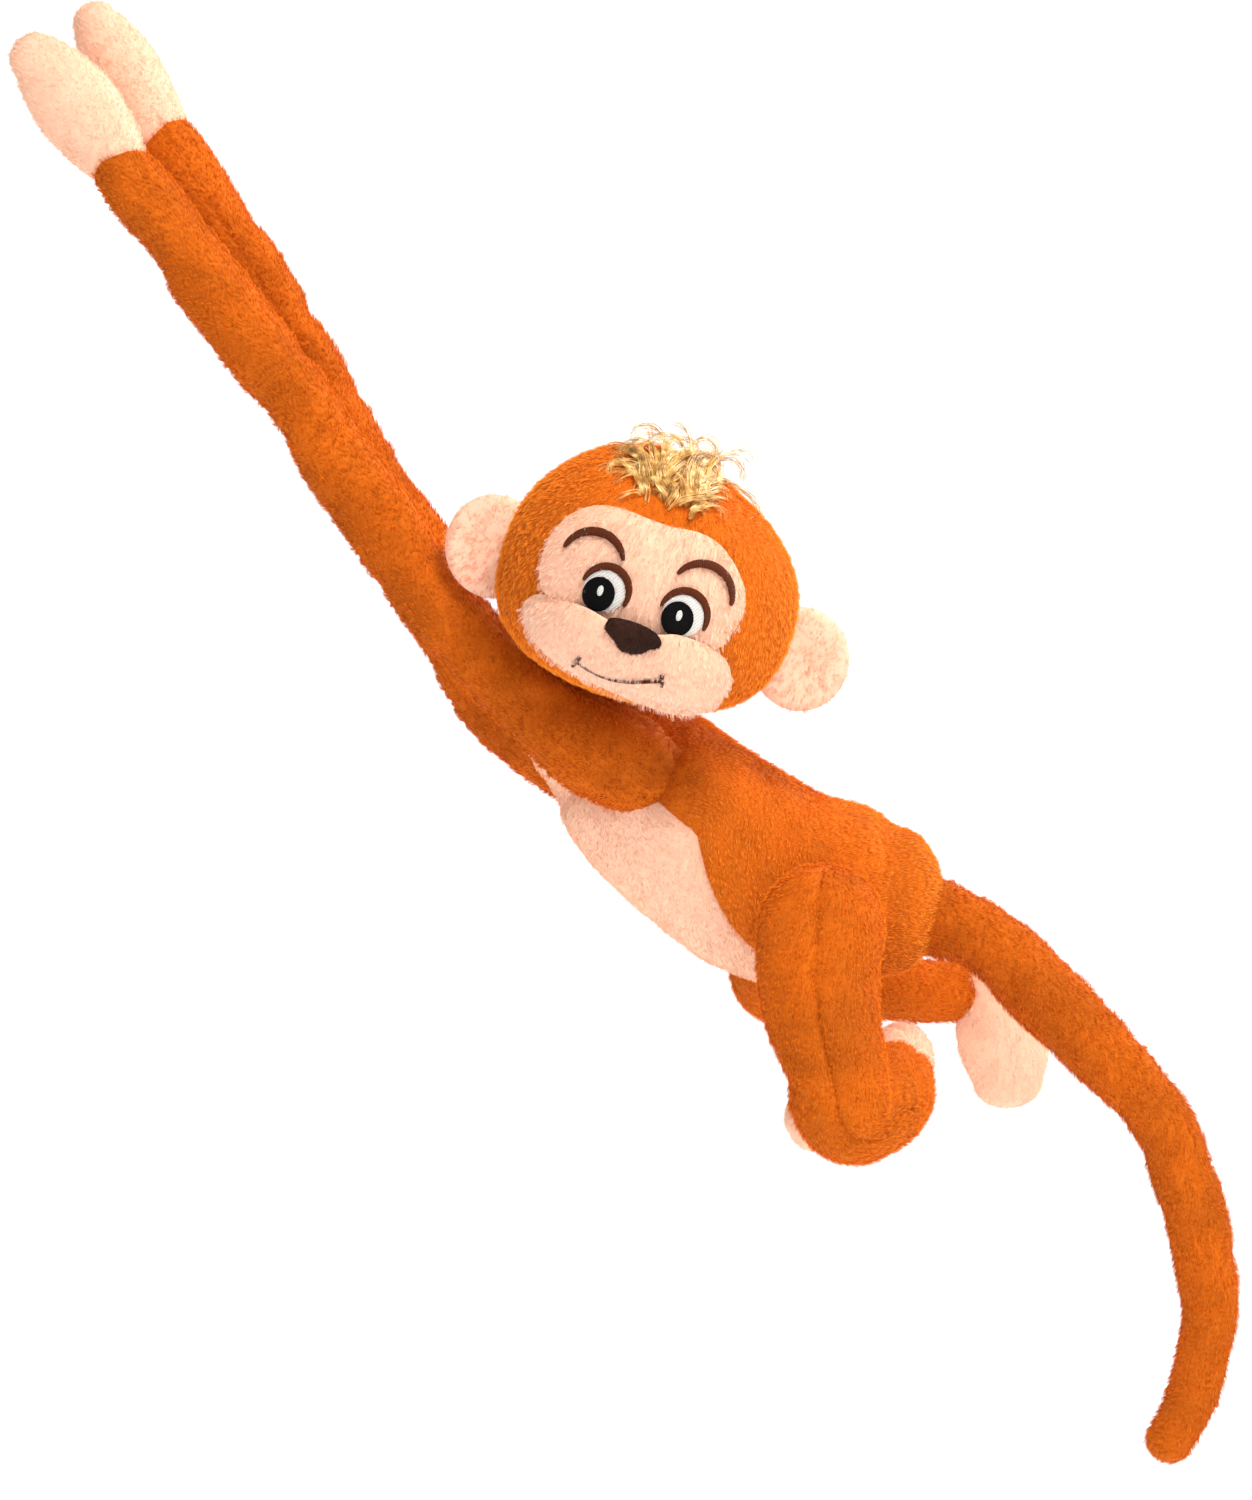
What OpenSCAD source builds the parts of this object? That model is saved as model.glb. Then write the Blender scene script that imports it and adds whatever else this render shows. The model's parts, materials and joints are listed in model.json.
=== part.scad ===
// Long-armed plush monkey, hanging by its joined hands.
// Frame: +Z up, +X towards the tail, -Y towards the face, millimetres.
// The origin is the middle of the left palm's fastening patch, on its outer face.
// The face looks towards -Y, the torso lies along X and both arms reach up to the origin.

/* [Head] */
// Radius of the stuffed head
head_r = 55; // [50:1:58]
// Sideways tilt of the head about the line of sight
head_tilt = 17; // [10:1:20]
// Radius of each ear
ear_r = 18; // [14:1:18]
// Thickness of each ear at its middle
ear_t = 8; // [5:0.5:8]

/* [Limbs] */
// Radius of an upper arm
upper_arm_r = 13.5; // [11:0.5:14]
// Radius of a forearm
forearm_r = 12.5; // [10:0.5:13]
// Half width of a hand at its widest
hand_w = 16.5; // [12:0.5:18]
// Half thickness of a hand
hand_t = 9; // [7:0.5:9]
// Radius of a shin beside the knee
shin_r = 13; // [10:0.5:13]
// Half width of a foot at its widest
foot_w = 15; // [11:0.5:16]

/* [Tail] */
// Radius of the tail at its root
tail_root_r = 14; // [11:0.5:14]
// Radius of the tail at its end
tail_tip_r = 9; // [7:0.5:10]

/* [Fabric] */
// Thickness of the pile fabric
wall = 1.6; // [1:0.1:2.5]
// Space between pieces that lie one on another
layer_gap = 0.2; // [0.1:0.05:0.4]
// Thickness of an embroidered or appliqued piece
thread_t = 0.6; // [0.4:0.1:1]
// Space between two limb pieces that turn against each other
joint_gap = 0.6; // [0.4:0.1:1.5]

/* [Palm patches] */
// Radius of each round fastening patch
patch_r = 10; // [7:0.5:10]
// Thickness of each fastening patch
patch_t = 1.2; // [0.8:0.1:1.4]

/* [Hidden] */

$fn = 48;
orange = "darkorange";
peach = "navajowhite";
fill_white = "white";
thread_brown = "maroon";
gold = "goldenrod";

sides = 14;          // facets around a limb
torso_sides = 20;    // facets around the torso
cap_angles = [30, 60];
head_c = [229, -78, -194];
nape_c = [216, -10, -210];
nape_r = 12;

// Pivots: each is the centre of the round end of the piece that turns there.
left_shoulder = [222, -47, -258];
left_elbow = [97, -25, -129];
left_wrist = [20, -12, -26];
right_shoulder = [216, 47, -258];
right_elbow = [102, 33, -121];
right_wrist = [34, 17, -10];
left_hip = [296, -57, -327];
left_knee = [304, -54, -404];
left_ankle = [334, 14, -377];
right_hip = [300, 58, -329];
right_knee = [287, 112, -356];
right_ankle = [374, 108, -357];
tail_root = [366, 0, -338];
tail_middle = [430, -10, -403];
tail_tip = [450, -16, -478];

wrist_r = 10;
knee_r = shin_r + 1;
ankle_r = 10.8;
tail_middle_r = 12;
tail_tip_root_r = 11;

function unit(v) = v / norm(v);

// The centre of a limb's last round end, so that it just misses the ball at the next pivot.
function short_of(pivot, ball_r, from, end_r) =
    pivot + unit(from - pivot) * (ball_r + joint_gap + end_r);

// A station on a soft piece's centre line: position, half width and half depth.
function at(p, w, d) = [p[0], p[1], p[2], w, d];
function xyz(s) = [s[0], s[1], s[2]];

torso_line = [
    at([209, 0, -251], 27, 26),
    at([226, 0, -267], 34, 30),
    at([246, 0, -289], 37, 35),
    at([277, 0, -307], 39, 34),
    at([309, 0, -314], 35, 31),
    at([331, 0, -314], 26, 25)
];

left_upper_arm_line = [
    at(left_shoulder, upper_arm_r, upper_arm_r),
    at([200, -44, -251], upper_arm_r, upper_arm_r),
    at([180, -38, -237], upper_arm_r, upper_arm_r),
    at([162, -33, -218], upper_arm_r, upper_arm_r),
    at([146, -30, -197], upper_arm_r, upper_arm_r),
    at(short_of(left_elbow, forearm_r, [121, -28, -161], upper_arm_r), upper_arm_r, upper_arm_r)
];

left_forearm_line = [
    at(left_elbow, forearm_r, forearm_r),
    at([75, -21, -99], forearm_r, forearm_r),
    at([53, -18, -70], forearm_r, forearm_r),
    at(short_of(left_wrist, wrist_r, [53, -18, -70], 11.5), 11.5, 11.5)
];

left_hand_line = [
    at(left_wrist, wrist_r, wrist_r),
    at([9, -11, -11], 0.86 * hand_w, hand_t + 0.5),
    at([0, -11, 0], hand_w, hand_t),
    at([-7, -11, 9], 0.94 * hand_w, hand_t)
];

right_upper_arm_line = [
    at(right_shoulder, upper_arm_r, upper_arm_r),
    at([189, 44, -251], upper_arm_r, upper_arm_r),
    at([170, 41, -234], upper_arm_r, upper_arm_r),
    at([156, 40, -216], upper_arm_r, upper_arm_r),
    at([136, 38, -179], upper_arm_r, upper_arm_r),
    at(short_of(right_elbow, forearm_r, [127, 38, -161], upper_arm_r), upper_arm_r, upper_arm_r)
];

right_forearm_line = [
    at(right_elbow, forearm_r, forearm_r),
    at([79, 28, -81], forearm_r, forearm_r),
    at([62, 24, -55], forearm_r, forearm_r),
    at(short_of(right_wrist, wrist_r, [56, 22, -46], 11.5), 11.5, 11.5)
];

right_hand_line = [
    at(right_wrist, wrist_r, wrist_r),
    at([25, 15, 5], 0.86 * hand_w, hand_t + 0.5),
    at([19, 14, 14], hand_w, hand_t),
    at([13, 14, 26], 0.94 * hand_w, hand_t)
];

left_thigh_line = [
    at(left_hip, 25, 21),
    at([296, -57, -345], 24, 20),
    at([297, -57, -360], 20, 18),
    at(short_of(left_knee, knee_r, [296, -58, -360], 15.5), 15.5, 15.5)
];

left_shin_line = [
    at(left_knee, knee_r, knee_r),
    at([313, -34, -396], shin_r, shin_r),
    at(short_of(left_ankle, ankle_r, [316, -26, -393], 10), 10, 10)
];

left_foot_line = [
    at(left_ankle, ankle_r, ankle_r),
    at([317, 22, -389], ankle_r, ankle_r),
    at([299, 29, -402], foot_w, 11)
];

right_thigh_line = [
    at(right_hip, 24, 23.5),
    at([296, 73, -336], 20, 20),
    at(short_of(right_knee, knee_r, right_hip, 15), 15, 15)
];

right_shin_line = [
    at(right_knee, knee_r, knee_r),
    at([318, 111, -356], 11.5, 11.5),
    at(short_of(right_ankle, ankle_r, [330, 110, -356], 10), 10, 10)
];

right_foot_line = [
    at(right_ankle, ankle_r, ankle_r),
    at([379, 108, -373], foot_w, 12),
    at([382, 108, -388], 1.15 * foot_w, 12),
    at([383, 108, -397], foot_w, 11)
];

tail_root_line = [
    at(tail_root, tail_root_r, tail_root_r),
    at([394, -3, -360], 13, 13),
    at(short_of(tail_middle, tail_middle_r, [410, -6, -377], 12.5), 12.5, 12.5)
];

tail_middle_line = [
    at(tail_middle, tail_middle_r, tail_middle_r),
    at([441, -13, -426], 11.5, 11.5),
    at(short_of(tail_tip, tail_tip_root_r, [450, -15, -452], 11), 11, 11)
];

tail_tip_line = [
    at(tail_tip, tail_tip_root_r, tail_tip_root_r),
    at([447, -15, -496], 10.5, 10.5),
    at([442, -12, -516], 10, 10),
    at([432, -9, -537], tail_tip_r, tail_tip_r),
    at([430, -8, -541], tail_tip_r, tail_tip_r)
];

// Direction of a centre line at station i.
function heading(line, i) =
    unit(xyz(line[min(i + 1, len(line) - 1)]) - xyz(line[max(i - 1, 0)]));

// One ring of points, moved along the heading and shrunk, which also makes the round ends.
function ring(line, i, grow, shift, shrink, n) =
    let (
        t = heading(line, i),
        across = unit(cross(t, [0, 1, 0])),
        deep = cross(across, t),
        w = (line[i][3] + grow) * shrink,
        d = (line[i][4] + grow) * shrink,
        c = xyz(line[i]) + t * shift * (line[i][3] + grow)
    )
    [for (k = [0:n - 1]) c + across * w * cos(360 * k / n) + deep * d * sin(360 * k / n)];

function rings(line, grow, n) =
    let (last = len(line) - 1)
    concat(
        [for (j = [len(cap_angles) - 1:-1:0])
            ring(line, 0, grow, -sin(cap_angles[j]), cos(cap_angles[j]), n)],
        [for (i = [0:last]) ring(line, i, grow, 0, 1, n)],
        [for (a = cap_angles) ring(line, last, grow, sin(a), cos(a), n)]
    );

// A closed, round-ended solid along a centre line.
module stuffed(line, grow = 0, n = sides) {
    all = rings(line, grow, n);
    m = len(all);
    last = len(line) - 1;
    start = xyz(line[0]) - heading(line, 0) * (line[0][3] + grow);
    end = xyz(line[last]) + heading(line, last) * (line[last][3] + grow);
    points = concat([for (r = all) for (p = r) p], [start, end]);
    faces = concat(
        [for (i = [0:m - 2]) for (k = [0:n - 1]) [i * n + k, i * n + (k + 1) % n, (i + 1) * n + k]],
        [for (i = [0:m - 2]) for (k = [0:n - 1])
            [i * n + (k + 1) % n, (i + 1) * n + (k + 1) % n, (i + 1) * n + k]],
        [for (k = [0:n - 1]) [m * n, (k + 1) % n, k]],
        [for (k = [0:n - 1]) [m * n + 1, (m - 1) * n + k, (m - 1) * n + (k + 1) % n]]
    );
    polyhedron(points = points, faces = faces, convexity = 4);
}

// The fabric tube of a limb piece and the filling inside it.
module skin(line, n = sides) {
    difference() {
        stuffed(line, 0, n);
        stuffed(line, -wall, n);
    }
}

module stuffing(line, n = sides) {
    color(fill_white) stuffed(line, -wall - layer_gap, n);
}

// A point on a swept solid's side at station i, or between two stations when i is not whole.
function on_side(line, i, angle, grow) =
    i != floor(i)
    ? on_side(line, floor(i), angle, grow) * (1 - i + floor(i))
        + on_side(line, floor(i) + 1, angle, grow) * (i - floor(i))
    : let (
        t = heading(line, i),
        across = unit(cross(t, [0, 1, 0])),
        deep = cross(across, t)
    )
    xyz(line[i]) + across * (line[i][3] + grow) * cos(angle) + deep * (line[i][4] + grow) * sin(angle);

// A curved sheet lying on a swept solid, from one angle round it to an angle given for each station.
module sheet_on(line, first, last, from_angle, to_angles, low, high, steps = 10) {
    function angle(i, j) = from_angle + (to_angles[i - first] - from_angle) * j / steps;
    rows = last - first + 1;
    w = steps + 1;
    under = [for (i = [first:last]) for (j = [0:steps]) on_side(line, i, angle(i, j), low)];
    over = [for (i = [first:last]) for (j = [0:steps]) on_side(line, i, angle(i, j), high)];
    s = rows * w;
    grid = [for (i = [0:rows - 2]) for (j = [0:steps - 1]) i * w + j];
    faces = concat(
        [for (q = grid) [q, q + w, q + 1]],
        [for (q = grid) [q + 1, q + w, q + w + 1]],
        [for (q = grid) [s + q, s + q + 1, s + q + w]],
        [for (q = grid) [s + q + 1, s + q + w + 1, s + q + w]],
        [for (j = [0:steps - 1]) [j, j + 1, s + j + 1, s + j]],
        [for (j = [0:steps - 1]) let (e = (rows - 1) * w + j) [e, s + e, s + e + 1, e + 1]],
        [for (i = [0:rows - 2]) let (e = i * w) [e, s + e, s + e + w, e + w]],
        [for (i = [0:rows - 2]) let (e = i * w + steps) [e, e + w, s + e + w, s + e]]
    );
    polyhedron(points = concat(under, over), faces = faces, convexity = 4);
}

// The head's own frame: X to the right of the face, Z to its crown, -Y out of the face.
module in_head() {
    translate(head_c) rotate([0, head_tilt, 0]) children();
}

// Pushes a flat outline (x, z) forwards through the front half of the head.
module through_face() {
    rotate([90, 0, 0]) linear_extrude(height = 2 * head_r) children();
}

// A thin curved piece on the face with the given outline.
module on_face(low, high) {
    in_head() difference() {
        intersection() {
            sphere(r = head_r + high);
            through_face() children();
        }
        sphere(r = head_r + low);
    }
}

// Angle of the belly panel's left edge at each station of the torso, 270 being the left side.
belly_edge = [268, 268, 262, 240, 224];
belly_gap = 0.9;

stitch_r = 0.6;
stitch_count = 7;
slit_angle = 60;     // from the middle of the back towards the right side
slit_start = 2;      // stations of the torso's centre line
slit_end = 3.5;

muzzle_r = 14;
muzzle_half_w = 24;
muzzle_c = [0, -38, -30];
face_low = layer_gap;
face_high = layer_gap + wall;
trim_low = face_high + layer_gap;
trim_high = trim_low + thread_t;
top_low = trim_high + layer_gap;
top_high = top_low + thread_t;
eye_x = 15.5;
eye_z = -7;
eye_r = 8.6;
pupil_r = 5.6;
glint_r = 1.5;
ear_x = 66.5;
ear_back = 31;

// The muzzle's bulge: a bar with round ends across the face.
module muzzle_bulge(grow) {
    translate(muzzle_c) {
        for (side = [-1, 1])
            translate([side * muzzle_half_w, 0, 0]) sphere(r = muzzle_r + grow);
        rotate([0, 90, 0])
            cylinder(r = muzzle_r + grow, h = 2 * muzzle_half_w, center = true);
    }
}

module arc_band(r, half_w, from_angle, to_angle) {
    steps = 12;
    outer = [for (i = [0:steps]) let (a = from_angle + (to_angle - from_angle) * i / steps)
        (r + half_w) * [cos(a), sin(a)]];
    inner = [for (i = [steps:-1:0]) let (a = from_angle + (to_angle - from_angle) * i / steps)
        (r - half_w) * [cos(a), sin(a)]];
    polygon(concat(outer, inner));
}

module torso_skin() {
    color(orange) skin(torso_line, torso_sides);
}

module belly_panel() {
    color(peach) sheet_on(torso_line, 0, 4, 175, belly_edge, belly_gap, belly_gap + wall);
}

module torso_stuffing() {
    stuffing(torso_line, torso_sides);
}

// A straight length of thread between two points.
module stitch(a, b) {
    way = b - a;
    translate(a) rotate([0, acos(way[2] / norm(way)), atan2(way[1], way[0])])
        cylinder(r = stitch_r, h = norm(way), $fn = 16);
}

// Hand stitches across the filling slit, which runs along the back on the right side.
module closing_seam() {
    lift = stitch_r + layer_gap;
    color(thread_brown) for (k = [0:stitch_count - 1])
        let (station = slit_start + (slit_end - slit_start) * k / (stitch_count - 1))
        stitch(on_side(torso_line, station, slit_angle - 4, lift),
            on_side(torso_line, station, slit_angle + 4, lift));
}

module nape() {
    color(orange) translate(nape_c) sphere(r = nape_r);
}

module head_skin() {
    color(orange) in_head() difference() {
        sphere(r = head_r);
        sphere(r = head_r - wall);
    }
}

module head_stuffing() {
    color(fill_white) in_head() sphere(r = head_r - wall - layer_gap);
}

// The peach face: a broad lower oval with two lobes over the eyes.
module face_outline() {
    for (side = [-1, 1]) translate([side * 19 - 2, 2]) circle(r = 21);
    translate([-2, -18]) circle(r = 33);
}

module face_patch() {
    color(peach) difference() {
        on_face(face_low, face_high) face_outline();
        in_head() muzzle_bulge(layer_gap);
    }
}

module muzzle() {
    color(peach) in_head() difference() {
        muzzle_bulge(0);
        sphere(r = head_r + face_low);
    }
}

// A broad oval with a narrower lobe below it.
module nose_outline() {
    translate([-1, -18.5]) {
        for (side = [-1, 1]) translate([side * 5, 0]) circle(r = 5);
        square([10, 10], center = true);
    }
    translate([-1, -23]) circle(r = 4.5);
}

module nose() {
    nose_t = 2.2;
    color(thread_brown) in_head() difference() {
        intersection() {
            union() {
                muzzle_bulge(nose_t);
                sphere(r = head_r + face_high + nose_t);
            }
            through_face() nose_outline();
        }
        muzzle_bulge(layer_gap);
        sphere(r = head_r + trim_low);
    }
}

module mouth() {
    color(thread_brown) in_head() difference() {
        intersection() {
            muzzle_bulge(layer_gap + thread_t);
            through_face() translate([-1, 6]) arc_band(43, 0.8, 248, 291);
        }
        muzzle_bulge(layer_gap);
        sphere(r = head_r + face_low);
    }
}

module eye_white(side) {
    color(fill_white) on_face(trim_low, trim_high) translate([side * eye_x, eye_z]) circle(r = eye_r);
}

module pupil(side) {
    color("black") on_face(top_low, top_high) translate([side * eye_x - 1, eye_z - 3]) circle(r = pupil_r);
}

module eye_glint(side) {
    color(fill_white) on_face(top_high + layer_gap, top_high + layer_gap + thread_t)
        translate([side * eye_x - 1, eye_z - 1]) circle(r = glint_r);
}

module eyelid(side) {
    color(thread_brown) on_face(trim_low, trim_high)
        translate([side * eye_x, eye_z]) arc_band(eye_r + 1, 0.8, 5, 175);
}

module brow(side) {
    color(thread_brown) on_face(trim_low, trim_high)
        translate([side * 21, -3]) arc_band(15, 1.3, 90 - side * 5 - 48, 90 - side * 5 + 48);
}

// One curling lock, from a root on the head to a round end.
module lock(p, q, r, s) {
    stuffed([at(p, 5, 5), at(q, 4.5, 4.5), at(r, 3.5, 3.5), at(s, 2, 2)], 0, 8);
}

module hair_tuft() {
    color(gold) in_head() {
        lock([0, -35, 49], [1, -46, 42], [4, -54, 34], [7, -57, 26]);
        lock([-10, -34, 50], [-13, -44, 46], [-17, -51, 41], [-16, -56, 35]);
        lock([8, -34, 49], [14, -45, 44], [19, -51, 38], [19, -55, 31]);
        lock([-4, -31, 53], [-7, -35, 59], [-12, -40, 61], [-17, -46, 57]);
        lock([6, -30, 53], [10, -34, 58], [16, -40, 58], [20, -45, 52]);
    }
}

// A flat round ear that stands out from the side of the head.
module ear(x, z) {
    color(peach) in_head() translate([x, ear_back, z]) rotate([90, 0, 0]) rotate_extrude() polygon(
        [for (i = [0:16]) let (a = 90 - 180 * i / 16) [max(0, ear_r * cos(a)), ear_t / 2 * sin(a)]]
    );
}

module left_ear() {
    ear(-ear_x, 0);
}

module right_ear() {
    ear(ear_x, -5);
}

module palm_patch(x, y, z) {
    color("gray") translate([x, y, z]) rotate([90, 0, 0]) cylinder(r = patch_r, h = patch_t);
}

module left_palm_patch() {
    palm_patch(0, 0, 0);
}

module right_palm_patch() {
    palm_patch(17, 4.6, 18);
}

module left_upper_arm_skin() {
    color(orange) skin(left_upper_arm_line);
}

module left_upper_arm_stuffing() {
    stuffing(left_upper_arm_line);
}

module left_forearm_skin() {
    color(orange) skin(left_forearm_line);
}

module left_forearm_stuffing() {
    stuffing(left_forearm_line);
}

module left_hand_skin() {
    color(peach) skin(left_hand_line);
}

module left_hand_stuffing() {
    stuffing(left_hand_line);
}

module right_upper_arm_skin() {
    color(orange) skin(right_upper_arm_line);
}

module right_upper_arm_stuffing() {
    stuffing(right_upper_arm_line);
}

module right_forearm_skin() {
    color(orange) skin(right_forearm_line);
}

module right_forearm_stuffing() {
    stuffing(right_forearm_line);
}

module right_hand_skin() {
    color(peach) skin(right_hand_line);
}

module right_hand_stuffing() {
    stuffing(right_hand_line);
}

module left_thigh_skin() {
    color(orange) skin(left_thigh_line);
}

module left_thigh_stuffing() {
    stuffing(left_thigh_line);
}

module left_shin_skin() {
    color(orange) skin(left_shin_line);
}

module left_shin_stuffing() {
    stuffing(left_shin_line);
}

module left_foot_skin() {
    color(peach) skin(left_foot_line);
}

module left_foot_stuffing() {
    stuffing(left_foot_line);
}

module right_thigh_skin() {
    color(orange) skin(right_thigh_line);
}

module right_thigh_stuffing() {
    stuffing(right_thigh_line);
}

module right_shin_skin() {
    color(orange) skin(right_shin_line);
}

module right_shin_stuffing() {
    stuffing(right_shin_line);
}

module right_foot_skin() {
    color(peach) skin(right_foot_line);
}

module right_foot_stuffing() {
    stuffing(right_foot_line);
}

module tail_root_skin() {
    color(orange) skin(tail_root_line);
}

module tail_root_stuffing() {
    stuffing(tail_root_line);
}

module tail_middle_skin() {
    color(orange) skin(tail_middle_line);
}

module tail_middle_stuffing() {
    stuffing(tail_middle_line);
}

module tail_tip_skin() {
    color(orange) skin(tail_tip_line);
}

module tail_tip_stuffing() {
    stuffing(tail_tip_line);
}

torso_skin();
belly_panel();
torso_stuffing();
closing_seam();
nape();
head_skin();
head_stuffing();
face_patch();
muzzle();
nose();
mouth();
eye_white(-1);  // left_eye_white
eye_white(1);  // right_eye_white
pupil(-1);  // left_pupil
pupil(1);  // right_pupil
eye_glint(-1);  // left_eye_glint
eye_glint(1);  // right_eye_glint
eyelid(-1);  // left_eyelid
eyelid(1);  // right_eyelid
brow(-1);  // left_brow
brow(1);  // right_brow
hair_tuft();
left_ear();
right_ear();
left_upper_arm_skin();
left_upper_arm_stuffing();
left_forearm_skin();
left_forearm_stuffing();
left_hand_skin();
left_hand_stuffing();
left_palm_patch();
right_upper_arm_skin();
right_upper_arm_stuffing();
right_forearm_skin();
right_forearm_stuffing();
right_hand_skin();
right_hand_stuffing();
right_palm_patch();
left_thigh_skin();
left_thigh_stuffing();
left_shin_skin();
left_shin_stuffing();
left_foot_skin();
left_foot_stuffing();
right_thigh_skin();
right_thigh_stuffing();
right_shin_skin();
right_shin_stuffing();
right_foot_skin();
right_foot_stuffing();
tail_root_skin();
tail_root_stuffing();
tail_middle_skin();
tail_middle_stuffing();
tail_tip_skin();
tail_tip_stuffing();
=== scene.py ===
"""Long-armed plush monkey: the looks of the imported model, as stuffed pile fabric with embroidery."""
import json
import random
from math import atan2, copysign, cos, degrees, exp, hypot, pi, radians, sin, sqrt

import bmesh
import bpy
from mathutils import Matrix, Vector, noise
from mathutils.bvhtree import BVHTree


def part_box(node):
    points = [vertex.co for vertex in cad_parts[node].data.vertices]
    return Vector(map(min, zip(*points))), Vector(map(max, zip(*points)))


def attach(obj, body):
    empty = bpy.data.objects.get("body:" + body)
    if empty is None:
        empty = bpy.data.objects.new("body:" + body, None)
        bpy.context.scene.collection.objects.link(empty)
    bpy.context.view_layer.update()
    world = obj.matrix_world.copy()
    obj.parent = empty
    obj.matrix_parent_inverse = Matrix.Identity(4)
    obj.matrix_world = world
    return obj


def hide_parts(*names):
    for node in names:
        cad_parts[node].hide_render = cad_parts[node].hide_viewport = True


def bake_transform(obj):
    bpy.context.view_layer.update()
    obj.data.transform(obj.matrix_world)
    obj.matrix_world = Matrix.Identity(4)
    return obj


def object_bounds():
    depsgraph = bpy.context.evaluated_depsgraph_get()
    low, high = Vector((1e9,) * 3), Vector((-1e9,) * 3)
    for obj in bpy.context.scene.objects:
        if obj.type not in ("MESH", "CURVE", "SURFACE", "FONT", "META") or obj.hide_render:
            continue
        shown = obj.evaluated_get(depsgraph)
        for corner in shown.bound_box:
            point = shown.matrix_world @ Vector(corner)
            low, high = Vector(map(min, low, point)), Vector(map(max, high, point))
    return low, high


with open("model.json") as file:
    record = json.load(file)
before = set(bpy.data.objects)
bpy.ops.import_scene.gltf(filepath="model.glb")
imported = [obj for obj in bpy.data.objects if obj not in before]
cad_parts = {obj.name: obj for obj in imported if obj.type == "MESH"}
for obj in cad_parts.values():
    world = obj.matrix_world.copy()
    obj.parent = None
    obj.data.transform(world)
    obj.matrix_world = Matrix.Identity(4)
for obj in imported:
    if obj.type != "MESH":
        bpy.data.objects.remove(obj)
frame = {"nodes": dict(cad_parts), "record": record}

MM = 0.001
CAD_BOX = [list(corner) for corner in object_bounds()]
NODES = frame["nodes"]
PIVOT = {j["name"]: Vector(j["pos_m"]) for j in frame["record"]["behaviour"]["joints"]}
UP = Vector((0, 0, 1))
AWAY = Vector((0, 1, 0))

AROUND = 40          # vertices round a limb
RING_STEP = 3 * MM   # distance between a limb's rings
SEED = 7
CHILDREN = 6         # pile fibres grown round each guide fibre
FRAMES = 20          # length of the filling simulation


# -------- colours and materials

ORANGE = (0.80, 0.170, 0.006)
SHADED_ORANGE = (0.64, 0.115, 0.0035)    # orange painted darker as shade, for the pile of the arms, legs and tail
PEACH = (0.905, 0.56, 0.40)
THREAD_BROWN = (0.105, 0.022, 0.006)
NOSE_BROWN = (0.028, 0.010, 0.006)
THREAD_BLACK = (0.003, 0.003, 0.0035)
THREAD_WHITE = (0.80, 0.79, 0.77)
GOLD = (0.76, 0.41, 0.09)


def shade(colour, factor):
    return tuple(min(1.0, c * factor) for c in colour)


def adjust(target, settings):
    """Sets the named properties of a Blender object."""
    for key, value in settings.items():
        setattr(target, key, value)


def new_material(name):
    """A node material with its tree and its Principled shader."""
    mat = bpy.data.materials.new(name)
    mat.use_nodes = True
    return mat, mat.node_tree, mat.node_tree.nodes["Principled BSDF"]


def fill_in(tree, made, inputs):
    """Sets each input of a node, or links it where the value is another node's output."""
    for key, value in inputs.items():
        if isinstance(value, bpy.types.NodeSocket):
            tree.links.new(value, made.inputs[key])
        else:
            made.inputs[key].default_value = value
    return made


def node(tree, kind, inputs, **settings):
    """A shader node with its settings and inputs."""
    made = tree.nodes.new("ShaderNode" + kind)
    adjust(made, settings)
    return fill_in(tree, made, inputs)


def coordinate(tree, kind):
    return node(tree, "TexCoord", {}).outputs[kind]


def noise_of(tree, scale, detail):
    """Noise in the piece's own space."""
    return node(tree, "TexNoise", {"Vector": coordinate(tree, "Object"), "Scale": scale,
                                   "Detail": detail}).outputs["Fac"]


def ramp_of(tree, fac, stops):
    """A colour ramp through (position, colour) stops."""
    ramp = node(tree, "ValToRGB", {"Fac": fac})
    while len(ramp.color_ramp.elements) < len(stops):
        ramp.color_ramp.elements.new(0.5)
    for element, (position, colour) in zip(ramp.color_ramp.elements, stops):
        element.position = position
        element.color = (*colour, 1)
    return ramp.outputs["Color"]


def bump_of(tree, height, strength, distance):
    return node(tree, "Bump", {"Height": height, "Strength": strength, "Distance": distance}).outputs["Normal"]


def range_of(tree, value, low, high):
    return node(tree, "MapRange", {"Value": value, "To Min": low, "To Max": high}).outputs["Result"]


def pile_cloth(name, colour, deep, light):
    """The woven ground under the pile: mottled colour and a fine tufted bump."""
    mat, tree, bsdf = new_material(name)
    tufts = noise_of(tree, 520, 2)
    fill_in(tree, bsdf, {
        "Base Color": ramp_of(tree, noise_of(tree, 38, 4), [(0.35, deep), (0.52, colour), (0.7, light)]),
        "Normal": bump_of(tree, tufts, 0.5, 0.8 * MM), "Roughness": range_of(tree, tufts, 0.75, 0.95),
        "Specular IOR Level": 0.15})
    return mat


# Painted shade with orange bounce light for the ears' pile: a darker, rosier tint that fades to none.
PAINTED_SHADE_RAMP = [(0.0, (0.90, 0.42, 0.30)), (0.5, (1.0, 0.74, 0.66)), (1.0, (1.0, 1.0, 1.0))]


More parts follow.
